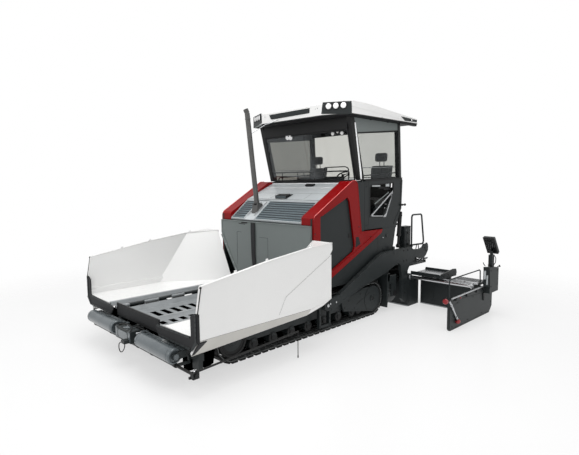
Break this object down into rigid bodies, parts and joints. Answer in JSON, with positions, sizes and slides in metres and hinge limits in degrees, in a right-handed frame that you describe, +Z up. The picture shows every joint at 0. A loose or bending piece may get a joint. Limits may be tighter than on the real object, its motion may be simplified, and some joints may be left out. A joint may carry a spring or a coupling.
{
  "type": "tracked asphalt paver",
  "caption": "Tracked road paver: folding front hopper, push rollers, engine house with red trim, open operator station under a roof, and a towed extending screed.",
  "frame": {"origin": "on the ground under the middle of the machine's box", "axes": "+X to the machine's left, +Y to the rear (screed end), +Z up"},
  "size_m": [5.53, 6.3, 3.898],
  "materials": {
    "frame_steel": "satin",
    "charcoal_panel": "satin",
    "black_steel": "satin",
    "grey_panel": "satin",
    "silver_panel": "semi-gloss",
    "white_panel": "gloss",
    "red_trim": "gloss",
    "wear_plate": "worn",
    "roller_steel": "satin",
    "cast_block": "matte",
    "exhaust_steel": "satin",
    "chrome_rod": "polished",
    "dark_plastic": "matte",
    "window_glass": "clear, lightly tinted",
    "seat_fabric": "woven",
    "flap_rubber": "matte",
    "track_rubber": "matte"
  },
  "bodies": {
    "chassis": {"main_frame": "frame_steel", "frame_cross_members": "frame_steel", "belly_plate": "frame_steel", "conveyor_tunnels": "frame_steel", "hopper_floor": "wear_plate", "conveyors": "black_steel", "wing_cylinders": "black_steel", "hopper_rear_wall": "grey_panel", "body_sides": "charcoal_panel", "body_trim": "red_trim", "hood_front": "silver_panel", "hood_top": "silver_panel", "engine_block": "cast_block", "front_bulkhead": "charcoal_panel", "rear_bulkhead": "charcoal_panel", "operator_floor": "frame_steel", "operator_sides": "charcoal_panel", "operator_console": "dark_plastic", "seats": "seat_fabric", "roof_frame": "black_steel", "windscreen": "window_glass", "side_windows": "window_glass", "roof": "white_panel", "roof_liner": "dark_plastic", "exhaust_pipe": "exhaust_steel", "track_left": "track_rubber", "track_right": "track_rubber", "track_frames": "frame_steel", "tow_point_rails": "frame_steel", "auger_support": "frame_steel", "deflector_plates": "frame_steel", "screed_lift_cylinders": "black_steel", "guide_tube": "frame_steel"},
    "hopper_wing_left": {"wing_left": "white_panel", "wing_flap_left": "flap_rubber"},
    "hopper_wing_right": {"wing_right": "white_panel", "wing_flap_right": "flap_rubber"},
    "apron": {"front_apron": "black_steel"},
    "push_beam": {"push_beam": "frame_steel"},
    "push_roller_left": {"push_roller_left": "roller_steel"},
    "push_roller_right": {"push_roller_right": "roller_steel"},
    "steering_guide": {"steering_guide": "black_steel"},
    "service_door_left": {"service_door_left": "charcoal_panel"},
    "service_door_right": {"service_door_right": "charcoal_panel"},
    "auger_left": {"auger_left": "wear_plate"},
    "auger_right": {"auger_right": "wear_plate"},
    "screed": {"tow_arms": "frame_steel", "screed_main": "frame_steel", "screed_deck": "frame_steel"},
    "extension_left": {"extension_left": "frame_steel", "extension_tube_left": "chrome_rod", "end_gate_left": "frame_steel"},
    "extension_right": {"extension_right": "frame_steel", "extension_tube_right": "chrome_rod", "end_gate_right": "frame_steel"}
  },
  "joints": [
    {"name": "wing_fold_left", "type": "hinge", "parent": "chassis", "child": "hopper_wing_left", "pos_m": [0.79, -1.68, 0.61], "axis": [0, -1, 0], "range_deg": [0, 50]},
    {"name": "wing_fold_right", "type": "hinge", "parent": "chassis", "child": "hopper_wing_right", "pos_m": [-0.79, -1.68, 0.61], "axis": [0, 1, 0], "range_deg": [0, 50]},
    {"name": "apron_tilt", "type": "hinge", "parent": "chassis", "child": "apron", "pos_m": [0, -2.82, 0.52], "axis": [1, 0, 0], "range_deg": [-35, 40]},
    {"name": "push_beam_swing", "type": "hinge", "parent": "chassis", "child": "push_beam", "pos_m": [0, -2.87, 0.43], "axis": [0, 0, 1], "range_deg": [-3, 3]},
    {"name": "push_roller_left_spin", "type": "hinge", "parent": "push_beam", "child": "push_roller_left", "pos_m": [0.821, -2.988, 0.414], "axis": [1, 0, 0], "continuous": true},
    {"name": "push_roller_right_spin", "type": "hinge", "parent": "push_beam", "child": "push_roller_right", "pos_m": [-0.821, -2.988, 0.414], "axis": [1, 0, 0], "continuous": true},
    {"name": "steering_guide_slide", "type": "slide", "parent": "chassis", "child": "steering_guide", "axis": [1, 0, 0], "range_m": [0, 0.6]},
    {"name": "service_door_left_hinge", "type": "hinge", "parent": "chassis", "child": "service_door_left", "pos_m": [1.2, -0.2465, 1.5], "axis": [0, 0, -1], "range_deg": [0, 95]},
    {"name": "service_door_right_hinge", "type": "hinge", "parent": "chassis", "child": "service_door_right", "pos_m": [-1.2, -0.2465, 1.5], "axis": [0, 0, 1], "range_deg": [0, 95]},
    {"name": "auger_left_spin", "type": "hinge", "parent": "chassis", "child": "auger_left", "pos_m": [0.64, 1.96, 0.33], "axis": [1, 0, 0], "continuous": true},
    {"name": "auger_right_spin", "type": "hinge", "parent": "chassis", "child": "auger_right", "pos_m": [-0.64, 1.96, 0.33], "axis": [1, 0, 0], "continuous": true},
    {"name": "screed_lift", "type": "hinge", "parent": "chassis", "child": "screed", "pos_m": [0, -0.15, 0.5], "axis": [1, 0, 0], "range_deg": [0, 8]},
    {"name": "extension_left_slide", "type": "slide", "parent": "screed", "child": "extension_left", "axis": [-1, 0, 0], "range_m": [0, 1.25]},
    {"name": "extension_right_slide", "type": "slide", "parent": "screed", "child": "extension_right", "axis": [1, 0, 0], "range_m": [0, 1.25]}
  ]
}
